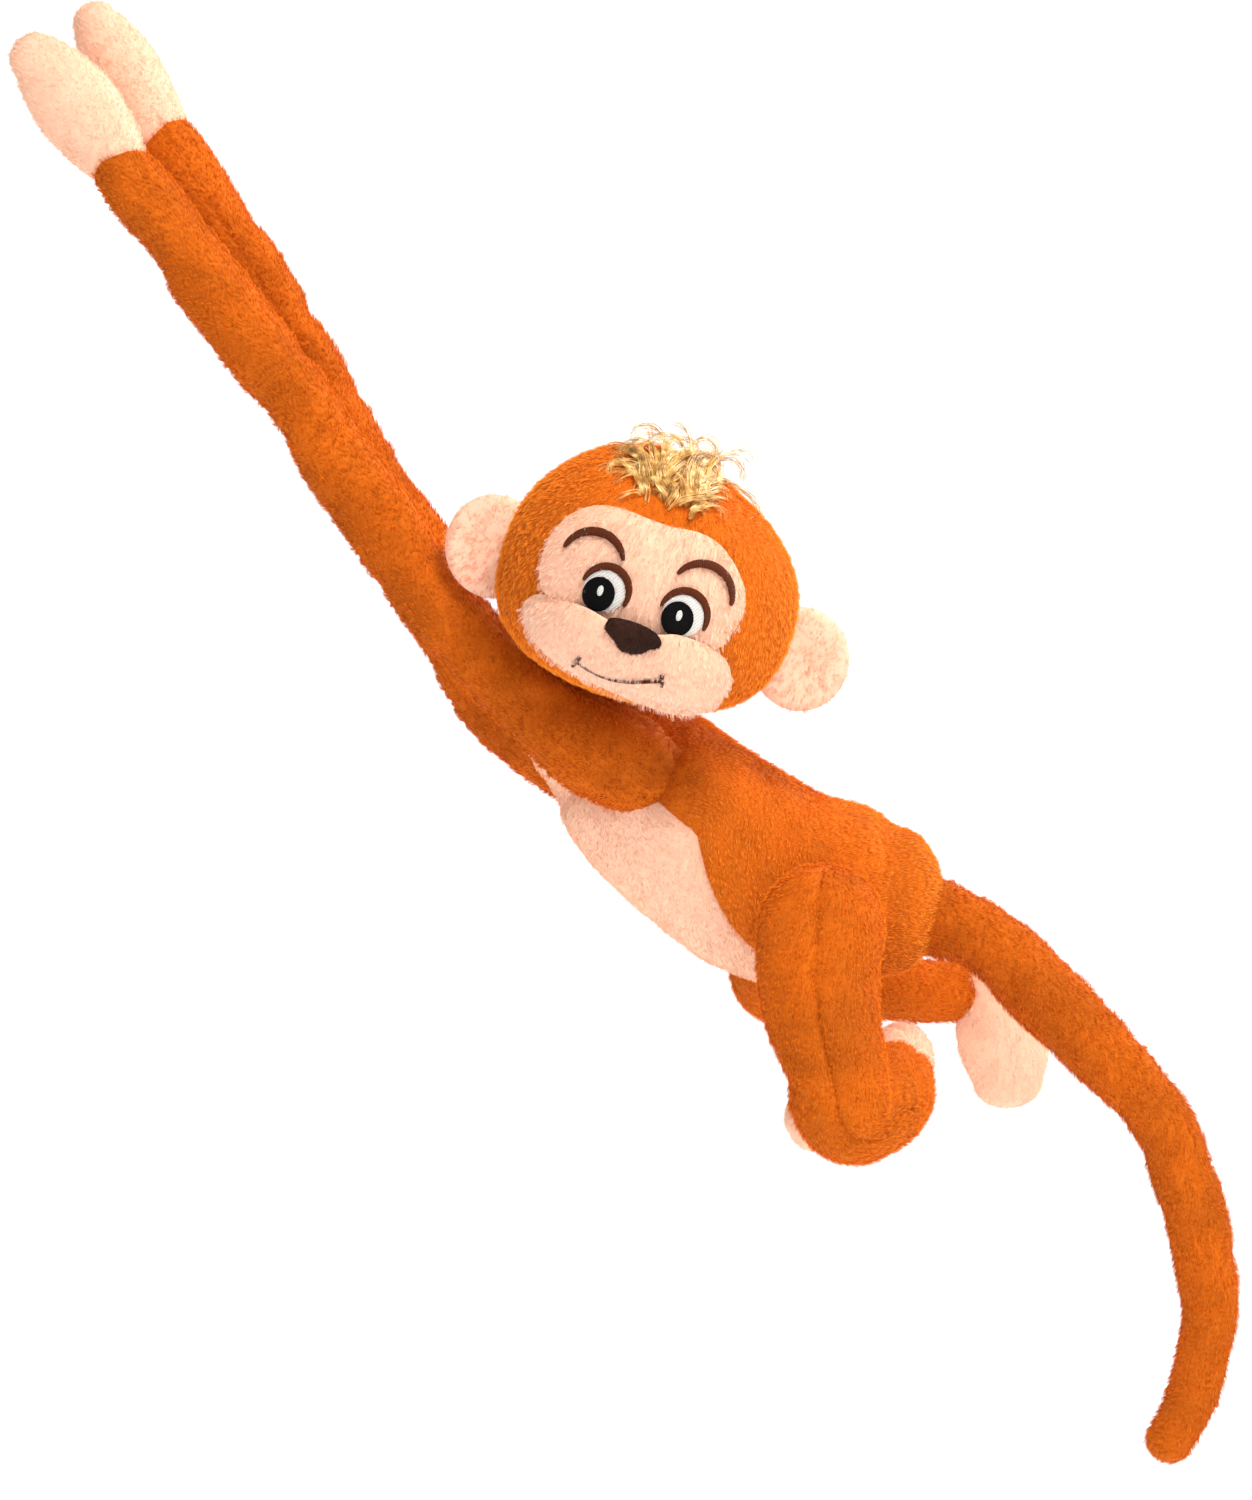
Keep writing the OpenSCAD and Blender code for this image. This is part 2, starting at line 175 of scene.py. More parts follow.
def pile_hair(name, root, body, tip, painted_shade=None):
    """The pile's fibres: darker at the root, as painted shade between the fibres, lighter at the tip,
    each a little different.
    The optional last argument is (point, direction, reach): painted shade with orange bounce light, the pile
    darker and rosier near the point than reach further on."""
    mat, tree, bsdf = new_material(name)
    strand = node(tree, "HairInfo", {})
    along = ramp_of(tree, strand.outputs["Intercept"], [(0.0, root), (0.45, body), (1.0, tip)])
    own = node(tree, "Math", {0: strand.outputs["Random"], 1: 0.34, 2: 0.72}, operation="MULTIPLY_ADD")
    mottle = node(tree, "Math", {0: noise_of(tree, 30, 3), 1: 0.18, 2: own.outputs[0]}, operation="MULTIPLY_ADD")
    tint = node(tree, "VectorMath", {0: along, "Scale": mottle.outputs[0]}, operation="SCALE").outputs[0]
    if painted_shade:
        point, way, reach = painted_shade
        start = point.dot(way)
        along_it = node(tree, "VectorMath", {0: coordinate(tree, "Object"), 1: way}, operation="DOT_PRODUCT")
        fade = node(tree, "MapRange", {"Value": along_it.outputs["Value"], "From Min": start,
                                       "From Max": start + reach})
        tint = node(tree, "VectorMath", {0: tint, 1: ramp_of(tree, fade.outputs["Result"], PAINTED_SHADE_RAMP)},
                    operation="MULTIPLY").outputs[0]
    fill_in(tree, bsdf, {"Base Color": tint, "Roughness": 0.7, "Specular IOR Level": 0.08})
    return mat


def thread(name, colour, stitch_axis, gloss=0.12):
    """Satin stitch: fine parallel threads; UVs are in mm and the threads half a mm apart."""
    mat, tree, bsdf = new_material(name)
    wave = node(tree, "TexWave", {"Vector": coordinate(tree, "UV"), "Scale": 0.62, "Distortion": 1.2,
                                  "Detail": 2, "Detail Scale": 1.5}, bands_direction=stitch_axis).outputs["Fac"]
    fill_in(tree, bsdf, {
        "Base Color": ramp_of(tree, wave, [(0.05, shade(colour, 0.4)), (0.45, colour),
                                           (1.0, shade(colour, 1.2))]),
        "Normal": bump_of(tree, wave, 0.8, 0.3 * MM), "Roughness": range_of(tree, wave, 0.55, 0.75),
        "Specular IOR Level": gloss})
    return mat


def strands(name, colour):
    """Glossy curled fibre with lighter and darker strands of random tone: the lightest are a painted
    highlight and the darkest painted shade.
    """
    mat, tree, bsdf = new_material(name)
    streaks_and_highlights = [(0.32, shade(colour, 0.4)), (0.5, colour), (0.68, (1.0, 0.80, 0.38))]
    fill_in(tree, bsdf, {"Base Color": ramp_of(tree, noise_of(tree, 260, 2), streaks_and_highlights), "Roughness": 0.3,
                         "Specular IOR Level": 0.6, "Anisotropic": 0.5})
    return mat


# Painted shade: the woven ground under the orange pile is a darker tone than the pile, as shade under the
# fibres.
ORANGE_CLOTH = pile_cloth("orange_cloth", shade(ORANGE, 0.70), shade(ORANGE, 0.55), shade(ORANGE, 0.8))
# Lit and shaded copies of the orange pile: painted light makes the head and torso pile lighter, painted shade
# makes the pile of the arms, tail and legs darker.
ORANGE_HAIR = pile_hair("orange_pile", shade(ORANGE, 0.48), (0.89, 0.205, 0.013), (1.0, 0.43, 0.045))
SHADED_ORANGE_HAIR = pile_hair("orange_pile_shaded", shade(SHADED_ORANGE, 0.45), SHADED_ORANGE, (0.88, 0.25, 0.014))
SHADED_LEG_HAIR = pile_hair("orange_pile_leg_shaded", shade(SHADED_ORANGE, 0.5), shade(SHADED_ORANGE, 1.12), (0.94, 0.30, 0.018))
# Painted shade: the ground under the peach pile is a little darker than the pile, as shade under the fibres.
PEACH_CLOTH = pile_cloth("peach_cloth", shade(PEACH, 0.96), shade(PEACH, 0.9), PEACH)
PEACH_HAIR = pile_hair("peach_pile", shade(PEACH, 0.94), PEACH, (0.98, 0.77, 0.62))
FACE_HAIR = pile_hair("face_pile", shade(PEACH, 0.94), (0.93, 0.60, 0.45), (1.0, 0.86, 0.73))
BROWN_THREAD = thread("brown_thread", THREAD_BROWN, "X")
BLACK_THREAD = thread("black_thread", THREAD_BLACK, "Y", 0.06)
WHITE_THREAD = thread("white_thread", THREAD_WHITE, "Y")
NOSE_CLOTH = pile_cloth("nose_cloth", NOSE_BROWN, shade(NOSE_BROWN, 0.6), shade(NOSE_BROWN, 1.6))
GOLD_FIBRE = strands("golden_fibre", GOLD)
NOSE_HAIR = pile_hair("nose_pile", shade(NOSE_BROWN, 0.6), NOSE_BROWN, shade(NOSE_BROWN, 1.7))


# -------- mesh helpers

def linked(name, data):
    """A new object in the scene."""
    obj = bpy.data.objects.new(name, data)
    bpy.context.scene.collection.objects.link(obj)
    return obj


def piece(name, verts, faces, material, body=None, uvs=None):
    """A smooth-shaded mesh object; uvs is one (u, v) for each vertex."""
    mesh = bpy.data.meshes.new(name)
    mesh.from_pydata([tuple(v) for v in verts], [], faces)
    mesh.validate()
    obj = linked(name, mesh)
    mesh.materials.append(material)
    if uvs:
        layer = mesh.uv_layers.new(name="UVMap")
        for loop in mesh.loops:
            layer.data[loop.index].uv = uvs[loop.vertex_index]
    mesh.shade_smooth()
    if body:
        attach(obj, body)
    return obj


def dress(obj, hair, density, length, lean, radius=0.13):
    """Gives a piece its short pile: density per square mm, length in mm, lean from 0 upright to 1 flat."""
    obj.data.materials.append(hair)
    bpy.context.view_layer.update()
    area = sum(p.area for p in obj.data.polygons) * 1e6
    mod = obj.modifiers.new("pile", "PARTICLE_SYSTEM")
    adjust(mod.particle_system.settings, dict(
        type="HAIR", count=int(area * density / CHILDREN), hair_step=3, render_step=3, use_advanced_hair=True,
        emit_from="FACE", distribution="RAND", use_modifier_stack=True,
        normal_factor=length * MM / 4 * cos(lean * pi / 2),
        tangent_factor=length * MM / 4 * sin(lean * pi / 2), tangent_phase=0.0,
        factor_random=length * MM / 4 * 0.35, child_type="INTERPOLATED", child_percent=1,
        rendered_child_count=CHILDREN, child_length=1.0, clump_factor=0.33, clump_shape=0.2,
        roughness_1=0.25 * MM, roughness_2=0.3 * MM, root_radius=radius, tip_radius=radius * 0.35,
        radius_scale=MM, material=len(obj.data.materials)))
    mod.particle_system.seed = SEED


# -------- limbs from the frame

def section(node, centre, direction):
    """Centre, half width and half depth of a CAD node where a plane cuts it."""
    t = direction.normalized()
    across = t.cross(AWAY).normalized()
    deep = across.cross(t)
    bm = bmesh.new()
    bm.from_mesh(NODES[node].data)
    cut = bmesh.ops.bisect_plane(bm, geom=bm.verts[:] + bm.edges[:] + bm.faces[:],
                                 plane_co=centre, plane_no=t)
    points = [v.co.copy() for v in cut["geom_cut"] if isinstance(v, bmesh.types.BMVert)]
    bm.free()
    a = [(p - centre).dot(across) for p in points]
    d = [(p - centre).dot(deep) for p in points]
    middle = centre + across * (max(a) + min(a)) / 2 + deep * (max(d) + min(d)) / 2
    return middle, (max(a) - min(a)) / 2, (max(d) - min(d)) / 2


def far_end(node, pivot):
    """The point of a node's mesh that is furthest from its pivot."""
    return max((v.co for v in NODES[node].data.vertices), key=lambda p: (p - pivot).length).copy()


def stations(node, start, end, fractions, fuller):
    """(centre, half width, half depth) of a node at fractions of the way from start to end, made fuller."""
    way = end - start
    return [(c, w * fuller, d * fuller) for c, w, d in (section(node, start + way * f, way) for f in fractions)]


def catmull(p, t):
    a, b, c, d = p
    return 0.5 * ((2 * b) + (c - a) * t + (2 * a - 5 * b + 4 * c - d) * t * t + (3 * b - a - 3 * c + d) * t ** 3)


class Spine:
    """A smooth centre line with half widths, sampled at even steps."""

    def __init__(self, rows):
        fine = []
        for i in range(len(rows) - 1):
            four = [rows[max(i - 1, 0)], rows[i], rows[i + 1], rows[min(i + 2, len(rows) - 1)]]
            for k in range(24):
                t = k / 24
                fine.append(tuple(catmull([r[n] for r in four], t) for n in range(3)))
        fine.append(rows[-1])
        length = [0.0]
        for a, b in zip(fine, fine[1:]):
            length.append(length[-1] + (b[0] - a[0]).length)
        self.length = length[-1]
        count = max(4, round(self.length / RING_STEP))
        self.rows = []
        j = 0
        for i in range(count + 1):
            s = self.length * i / count
            while j < len(length) - 2 and length[j + 1] < s:
                j += 1
            f = (s - length[j]) / max(length[j + 1] - length[j], 1e-9)
            a, b = fine[j], fine[j + 1]
            self.rows.append((a[0].lerp(b[0], f), a[1] + (b[1] - a[1]) * f, a[2] + (b[2] - a[2]) * f))
        self.step = self.length / count

    def frame(self, i):
        """Heading, across and deep directions at row i."""
        a = self.rows[max(i - 1, 0)][0]
        b = self.rows[min(i + 1, len(self.rows) - 1)][0]
        t = (b - a).normalized()
        across = t.cross(AWAY).normalized()
        return t, across, across.cross(t)

    def nearest(self, point):
        """Index of the row nearest to a point."""
        return min(range(len(self.rows)), key=lambda i: (self.rows[i][0] - point).length)


def apart(a, b):
    """Difference of two angles, between half a turn back and half a turn on."""
    return (a - b + pi) % (2 * pi) - pi


def bell(x, width):
    """1 at x = 0, fading away over the width on both sides."""
    return exp(-(x / width) ** 2)


def lumps(p, size, height):
    """Soft unevenness of the filling at a point."""
    return noise.noise(p / size + Vector((3.1, 7.7, 1.3))) * height


def tube(spine, first, last, caps, around=AROUND, shape=None, cuffs=(), turn=None):
    """Vertices, faces and UVs of a stuffed tube between two of a spine's rows.
    caps are the lengths of the round start and end, or 0 for an open end. shape(i, angle, p) is an
    extra outward offset. Each cuff (row, angle, reach) bends the rings beside a row into a V.
    turn(i, k) gives the angle of vertex k on row i when they aren't evenly spaced."""
    rows = []
    angles = (10, 20, 31, 42, 53, 64, 74, 83)
    if caps[0]:
        rows += [(first, -caps[0] * sin(radians(a)), cos(radians(a))) for a in reversed(angles)]
    rows += [(i, 0.0, 1.0) for i in range(first, last + 1)]
    if caps[1]:
        rows += [(last, caps[1] * sin(radians(a)), cos(radians(a))) for a in angles]
    verts, uvs = [], []
    for i, shift, shrink in rows:
        c, w, d = spine.rows[i]
        t, across, deep = spine.frame(i)
        for k in range(around):
            a = turn(i, k) if turn else 2 * pi * k / around
            radial = across * cos(a) * w + deep * sin(a) * d
            p = c + t * shift + radial * shrink
            offset = lumps(p, 0.026, 0.7 * MM) + lumps(p, 0.010, 0.35 * MM)
            if shape:
                offset += shape(i, a, p)
            for row, angle, reach in cuffs:
                gap = abs(apart(a, angle))
                p += t * reach * (1 - gap / (0.5 * pi)) * bell(i - row, 3.0)
            verts.append(p + radial.normalized() * offset * shrink)
            uvs.append((k / around, i * spine.step + shift))
    faces = bands(len(rows), around, inward=True)
    for ring, sign, cap in ((0, -1, caps[0]), (len(rows) - 1, 1, caps[1])):
        if not cap:
            continue
        i = rows[ring][0]
        verts.append(spine.rows[i][0] + spine.frame(i)[0] * sign * cap)
        uvs.append((0.5, i * spine.step + sign * cap))
        faces += fan(len(verts) - 1, ring, around, sign > 0)
    return verts, faces, uvs


def fan(pole, ring, around, flip):
    """Triangles that close a ring of a grid with a vertex at its pole."""
    edges = [(ring * around + k, ring * around + (k + 1) % around) for k in range(around)]
    return [(pole, b, a) if flip else (pole, a, b) for a, b in edges]


def bands(rings, around, inward=False, base=0):
    """Quads between the rings of a closed grid of vertices."""
    faces = []
    for i in range(rings - 1):
        a, b = base + i * around, base + (i + 1) * around
        for k in range(around):
            j = (k + 1) % around
            faces.append((a + j, a + k, b + k, b + j) if inward else (a + k, a + j, b + j, b + k))
    return faces


def seam(angle_of, depth=1.1 * MM, half_width=0.09, pucker=0.5 * MM):
    """A lengthwise seam: a groove at an angle round a tube with small gathers beside it."""
    def offset(i, a, p):
        gap = apart(a, angle_of(i))
        if abs(gap) > 0.9:
            return 0.0
        gather = noise.noise(Vector((i * 0.8, 1.5 if gap > 0 else 4.5, 2.5))) * pucker * bell(gap, 0.4)
        return gather * min(1.0, abs(gap) / half_width) - depth * bell(gap, half_width)
    return offset


def creases(centre, reach, depth, spacing=4.0):
    """Cross wrinkles that fade away from a point, in m."""
    def offset(i, a, p):
        fade = bell((p - centre).length, reach)
        if fade < 0.02:
            return 0.0
        wave = noise.noise(Vector((i / spacing, cos(a) * 0.7, sin(a) * 0.7)))
        return -depth * fade * max(0.0, 1 - abs(wave) * 4.5)
    return offset


def star(centre, reach, depth, rays):
    """Gathers that fan out from a point where seams meet."""
    def offset(i, a, p):
        away = p - centre
        fade = bell(away.length, reach)
        turn = atan2(away.z, away.x)
        return depth * fade * (sin(turn * rays + 2 * noise.noise(away / 0.006)) - 0.5)
    return offset


def dip(row, depth=1.0 * MM, reach=1.6):
    """A sewn joint round a tube: the fabric drawn in at a row."""
    def offset(i, a, p):
        return -depth * bell(i - row, reach)
    return offset


def together(*shapes):
    return lambda i, a, p: sum(shape(i, a, p) for shape in shapes)


def off(pivot, x, y, z):
    """A point at an offset in mm from a pivot."""
    return PIVOT[pivot] + Vector((x, y, z)) * MM


def rows_at(pivot, *rows):
    """Rows of a spine from (x, y, z, half width, half depth), in mm from a pivot."""
    return [(off(pivot, x, y, z), w * MM, d * MM) for x, y, z, w, d in rows]


CLOTH = dict(quality=5, mass=0.2, tension_stiffness=12, compression_stiffness=4, shear_stiffness=4,
             bending_stiffness=0.8, shrink_min=-0.05, use_pressure=True, uniform_pressure_force=4,
             vertex_group_mass="sewn")
PADS = []            # padded pieces: (object, pinned vertices, how far a point may move, what follows)


def fill_pads():
    """Inflates every padded piece with a short cloth simulation, then finishes it.
    The fabric is a little larger than its frame, so it gathers beside the seams, which are pinned."""
    scene = bpy.context.scene
    for obj, pinned, cap, finish in PADS:
        obj.vertex_groups.new(name="sewn").add(pinned, 1.0, "REPLACE")
        cloth = obj.modifiers.new("filling", "CLOTH")
        adjust(cloth.settings, CLOTH)
        cloth.settings.effector_weights.gravity = 0
        cloth.point_cache.frame_start = 1
        cloth.point_cache.frame_end = FRAMES
    for f in range(1, FRAMES + 1):
        scene.frame_set(f)
    graph = bpy.context.evaluated_depsgraph_get()
    moved = [[v.co.copy() for v in pad[0].evaluated_get(graph).data.vertices] for pad in PADS]
    scene.frame_set(1)
    for (obj, pinned, cap, finish), places in zip(PADS, moved):
        for vertex, place in zip(obj.data.vertices, places):
            place -= vertex.co
        for vertex, move in zip(obj.data.vertices, evened(obj.data, places, set(pinned))):
            vertex.co += move * (cap / max(move.length, cap))
        obj.modifiers.clear()
        obj.vertex_groups.clear()
    for obj, pinned, cap, finish in PADS:
        finish(obj)


def evened(mesh, moves, held, passes=4):
    """Movements averaged with their neighbours', which leaves soft folds and no crumpling."""
    near = [[] for _ in moves]
    for edge in mesh.edges:
        a, b = edge.vertices
        near[a].append(b)
        near[b].append(a)
    for _ in range(passes):
        moves = [move if i in held else (move + sum((moves[j] for j in near[i]), Vector())) / (1 + len(near[i]))
                 for i, move in enumerate(moves)]
    return moves


def sewn_vertices(rings, around, caps, seam_angles):
    """Vertices held by the open ends of a tube and by its lengthwise seams."""
    pinned = set()
    for ring, cap in zip((0, rings - 1), caps):
        if not cap:
            pinned.update(range(ring * around, (ring + 1) * around))
    for angle in seam_angles:
        k = round(angle / 360 * around) % around
        pinned.update(ring * around + k for ring in range(rings))
    return sorted(pinned)


def sleeve(name, spine, first, last, caps, cloth, nodes, shape, seams=(), cuffs=(), around=AROUND,
           cap=2.2 * MM, hair=None):
    """One padded length of a limb, dressed in its pile."""
    verts, faces, uvs = tube(spine, first, last, caps, around, shape, cuffs)
    ground, usual_hair, amount = FABRICS[cloth]
    obj = piece(name, verts, faces, ground, None, uvs)

    def finish(obj):
        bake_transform(obj)
        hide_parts(*nodes)
        dress(obj, hair or usual_hair, **amount)

    PADS.append((obj, sewn_vertices(len(verts) // around, around, caps, seams), cap, finish))


# -------- camera, light and floor

def studio():
    """A long lens level with the body, soft light from the upper right and a pale floor."""
    scene = bpy.context.scene
    low, high = (Vector(c) for c in CAD_BOX)
    camera = linked("camera", bpy.data.cameras.new("camera"))
    camera.location = (0.220, -1.600, -0.257)
    camera.rotation_euler = (radians(90), 0, 0)
    camera.data.lens = 96
    camera.data.clip_start = 0.01
    camera.data.clip_end = 50
    scene.camera = camera
    scene.view_settings.view_transform = "Standard"
    world = bpy.data.worlds.new("studio")
    scene.world = world
    world.use_nodes = True
    tree = world.node_tree
    seen = node(tree, "Background", {"Color": (1, 1, 1, 1), "Strength": 1.0})
    fill = fill_in(tree, tree.nodes["Background"], {"Color": (1.0, 0.985, 0.97, 1), "Strength": 0.44})
    path = node(tree, "LightPath", {})
    mix = node(tree, "MixShader", {"Fac": path.outputs["Is Camera Ray"], 1: fill.outputs["Background"],
                                   2: seen.outputs["Background"]})
    fill_in(tree, tree.nodes["World Output"], {"Surface": mix.outputs["Shader"]})
    middle = (low + high) / 2
    for name, offset, size, power in (("key", (0.68, -1.05, 1.3), 0.65, 34), ("rim", (0.9, 0.6, 0.8), 0.7, 17),
                                      ("front", (0.1, -1.7, 0.6), 1.2, 6)):
        light = linked(name, bpy.data.lights.new(name, "AREA"))
        light.data.size = size
        light.data.energy = power
        light.data.color = (1.0, 0.96, 0.90)
        light.location = middle + Vector(offset)
        light.rotation_euler = (-Vector(offset)).to_track_quat("-Z", "Y").to_euler()
    sweep(low.z - 0.45, middle)


def sweep(ground, middle):
    """A pale floor that curves up into a back wall."""
    profile = [(-6.0, 0.0), (3.0, 0.0)]
    profile += [(3.0 + 2.0 * sin(a), 2.0 - 2.0 * cos(a)) for a in (radians(9 * i) for i in range(1, 11))]
    profile.append((5.0, 9.0))
    verts = [(middle.x + x, middle.y + y, ground + z) for y, z in profile for x in (-12, 12)]
    faces = [(2 * i, 2 * i + 1, 2 * i + 3, 2 * i + 2) for i in range(len(profile) - 1)]
    piece("floor_sweep", verts, faces, floor_material())


def floor_material():
    mat, tree, bsdf = new_material("floor")
    fill_in(tree, bsdf, {
        "Base Color": ramp_of(tree, noise_of(tree, 3, 2), [(0.3, (0.9, 0.9, 0.9)), (0.7, (0.94, 0.94, 0.94))]),
        "Roughness": 0.9, "Emission Color": (1, 1, 1, 1), "Emission Strength": 0.55})
    return mat


# -------- stuffed parts

PILE = dict(density=1.9, length=2.2, lean=0.62)
SOFT_PILE = dict(density=1.7, length=1.7, lean=0.58)
FACE_PILE = dict(density=2.0, length=2.5, lean=0.52)
NOSE_PILE = dict(density=5, length=0.9, lean=0.5, radius=0.10)
PALM_PILE = dict(density=1.7, length=1.1, lean=0.5)
FABRICS = {"orange": (ORANGE_CLOTH, ORANGE_HAIR, PILE), "peach": (PEACH_CLOTH, PEACH_HAIR, SOFT_PILE)}


def arm(side):
    """Orange upper arm and forearm and a peach hand."""
    s = -1 if side == "left" else 1
    shoulder, elbow, wrist = (PIVOT[f"{side}_{j}"] for j in ("shoulder", "elbow", "wrist"))
    root = rows_at(f"{side}_shoulder", (9, -30 * s, -9, 14, 14), (8, -20 * s, -7, 16, 14.5),
                   (2, -11 * s, -5, 18, 14.5), (-8, -6 * s, -1.5, 19, 14.5), (-18, -3 * s, 3.5, 17.5, 14.5))
    upper, fore = (f"{side}_{n}_skin" for n in ("upper_arm", "forearm"))
    if side == "left":
        hand = rows_at("left_wrist", (-8, 0.5, 11.5, 14.6, 9.8), (-18.5, 1, 25, 16.3, 9.5),
                       (-28.5, 1, 37, 13.6, 8.8), (-36, 1, 45, 9, 7))
    else:
        hand = rows_at("right_wrist", (-8, -1.5, 12, 13.8, 9.8), (-16, -3, 25, 14.6, 9.5),
                       (-23.5, -3, 38, 12.2, 8.8), (-28.5, -3, 46.5, 8.2, 7))
    above = stations(upper, shoulder, elbow, (0.22, 0.34, 0.46, 0.6, 0.76), 1.03)
    lower, moves = Vector((-1, 0, -1)) * MM, (4, 3.5, 1.5) if side == "right" else (-1, -0.5, 0)
    root[3:] = [(c + lower * (2.5 if side == "right" else -0.7), w, d) for c, w, d in root[3:]]
    above[:3] = [(c + lower * move, w, d) for (c, w, d), move in zip(above, moves)]
    spine = Spine(root + above + stations(fore, elbow, wrist, (0, 0.25, 0.5, 0.74), 1.08)
                  + rows_at(f"{side}_wrist", (0, 0, 0, 12.4, 10.5)) + hand)
    upper_way = (elbow - shoulder).normalized()
    join = spine.nearest(elbow.lerp(wrist, 0.45))
    cuff = spine.nearest(wrist)
    end = len(spine.rows) - 1
    seam_at = 205 if side == "left" else 262
    sewn = seam(lambda i: radians(seam_at))

    def seam_line(i, a, p):
        """The sleeve's seam, which ends at the cuff."""
        return sewn(i, a, p) * (1.0 if i <= cuff else exp(-(i - cuff) / 1.5))

    shape = together(seam_line, dip(cuff), creases(elbow, 0.06, 1.6 * MM),
                     creases(shoulder + upper_way * 0.05, 0.045, 1.6 * MM, 3.0),
                     star(off(f"{side}_shoulder", 16, 10 * -s, -6), 0.022, 1.1 * MM, 7))
    cuffs = ((cuff, radians(300 if side == "left" else 250), 4.0 * MM),)
    # The sleeves wear the orange pile painted darker as shade.
    sleeve(f"{side}_upper_sleeve", spine, 0, join, (6 * MM, 0), "orange",
           (upper, f"{side}_upper_arm_stuffing"), shape, (seam_at,), hair=SHADED_ORANGE_HAIR)
    sleeve(f"{side}_fore_sleeve", spine, join, cuff, (0, 0), "orange",
           (fore, f"{side}_forearm_stuffing"), shape, (seam_at,), cuffs, hair=SHADED_ORANGE_HAIR)
    sleeve(f"{side}_hand", spine, cuff, end, (0, 6.5 * MM), "peach",
           (f"{side}_hand_skin", f"{side}_hand_stuffing"), shape, (), cuffs, cap=1.2 * MM)


def leg(side):
    """Orange thigh and shin, and a peach foot whose heel closes over the end of the shin."""
    hip, knee, ankle = (PIVOT[f"{side}_{j}"] for j in ("hip", "knee", "ankle"))
    if side == "left":
        rows = rows_at("left_hip", (0, 7, 0, 23.5, 18), (-0.5, 6, -18, 23, 18), (1, 3, -36, 20.5, 18))
        rows += rows_at("left_knee", (-3, 0, 22, 18.5, 18), (1, 4, 6, 17.5, 18), (12, 22, 6, 18, 18),
                        (20, 40, 9, 16.5, 16.5), (26, 58, 18, 13, 13))
        foot = rows_at("left_ankle", (-3, -1, -4, 13.5, 14), (-9, 4, -8, 14.5, 15), (-18, 9, -15, 14.5, 15),
                       (-27.5, 14, -23.5, 14, 13.5), (-37.5, 17, -31, 12.5, 12))
        seam_at = 262
    else:
        rows = rows_at("right_hip", (0, 0, 0, 24, 23), (-6, 20, -9, 22, 21), (-14, 40, -20, 20.5, 20))
        rows += rows_at("right_knee", (-1, -6, 2, 19, 19), (12, 1, 0, 18, 18), (34, 0, 0, 16, 16),
                        (58, -2, -3, 13.5, 14), (84, -3, -4, 11.5, 12))
        foot = rows_at("right_ankle", (3, 0, 2, 14, 13), (4, 0, -8, 16.5, 13.5), (6, 0, -20, 18.8, 13.5),
                       (8, 0, -31, 18, 13.5), (9, 0, -41, 14.5, 12))
        seam_at = 60
    spine, sole = Spine(rows), Spine(foot)
    join = spine.nearest(knee.lerp(ankle, 0.5))
    shape = together(seam(lambda i: radians(seam_at), 1.9 * MM, 0.06, 0.8 * MM),
                     creases(knee, 0.035, 1.6 * MM, 2.5), creases(hip, 0.03, 1.0 * MM, 3.0))
    # The leg wears the orange pile painted darker as shade.
    sleeve(f"{side}_thigh_sleeve", spine, 0, join, (24 * MM, 0), "orange",
           (f"{side}_thigh_skin", f"{side}_thigh_stuffing"),
           shape, (seam_at,), around=52, hair=SHADED_LEG_HAIR)
    sleeve(f"{side}_shin_sleeve", spine, join, len(spine.rows) - 1, (0, 4 * MM), "orange",
           (f"{side}_shin_skin", f"{side}_shin_stuffing"), shape,
           (seam_at,), around=52, hair=SHADED_LEG_HAIR)
    sleeve(f"{side}_foot", sole, 0, len(sole.rows) - 1, (11 * MM, 11 * MM), "peach",
           (f"{side}_foot_skin", f"{side}_foot_stuffing"),
           seam(lambda i: radians(180), 0.8 * MM), (0, 180), around=48, cap=1.5 * MM)


def tail():
    """One tapering tube in three lengths."""
    root, middle, last = (PIVOT[f"tail_{j}_bend"] for j in ("root", "middle", "tip"))
    end = far_end("tail_tip_skin", last)
    rows = rows_at("tail_root_bend", (-36, 0, 16, 15.5, 15.5), (-19, 0, 12, 15.2, 15), (0, -1, 3, 14.6, 14.5))
    rows += stations("tail_root_skin", root, middle, (0.3, 0.55), 1.06)
    rows += stations("tail_middle_skin", middle, last, (0, 0.3, 0.6), 1.05)
    rows += stations("tail_tip_skin", last, end, (0, 0.25, 0.5, 0.72), 1.02)
    spine = Spine(rows)
    turns = (root, middle, last, end)
    first_way, second_way, third_way = ((b - a).normalized() for a, b in zip(turns, turns[1:]))
    one, two = spine.nearest(root.lerp(middle, 0.5)), spine.nearest(middle.lerp(last, 0.5))
    shape = together(seam(lambda i: radians(20)), creases(middle, 0.03, 0.7 * MM))
    stop = len(spine.rows) - 1
    for name, first, final, caps, bodies, pivot, before, after in (
            ("tail_root", 0, one, (5 * MM, 0), ("torso", "tail_root"), root, first_way, first_way),
            ("tail_middle", one, two, (0, 0), ("tail_root", "tail_middle"), middle, first_way, second_way),
            ("tail_tip", two, stop, (0, 9 * MM), ("tail_middle", "tail_tip"), last, second_way, third_way)):
        # The tail wears the orange pile painted darker as shade.
        sleeve(f"{name}_sleeve", spine, first, final, caps, "orange",
               (f"{name}_skin", f"{name}_stuffing"), shape,
               (20,), hair=SHADED_ORANGE_HAIR)


BELLY_COUNT = 24     # faces round the torso that belong to the belly panel
RUMP_RINGS = 12      # rings at the rump beyond the belly panel


def belly_edge(f):
    """Angle in degrees of the belly's left seam, f being 0 at the chest and 1 at the rump."""
    return 270 if f < 0.42 else 270 - 62 * min(1.0, (f - 0.42) / 0.36)


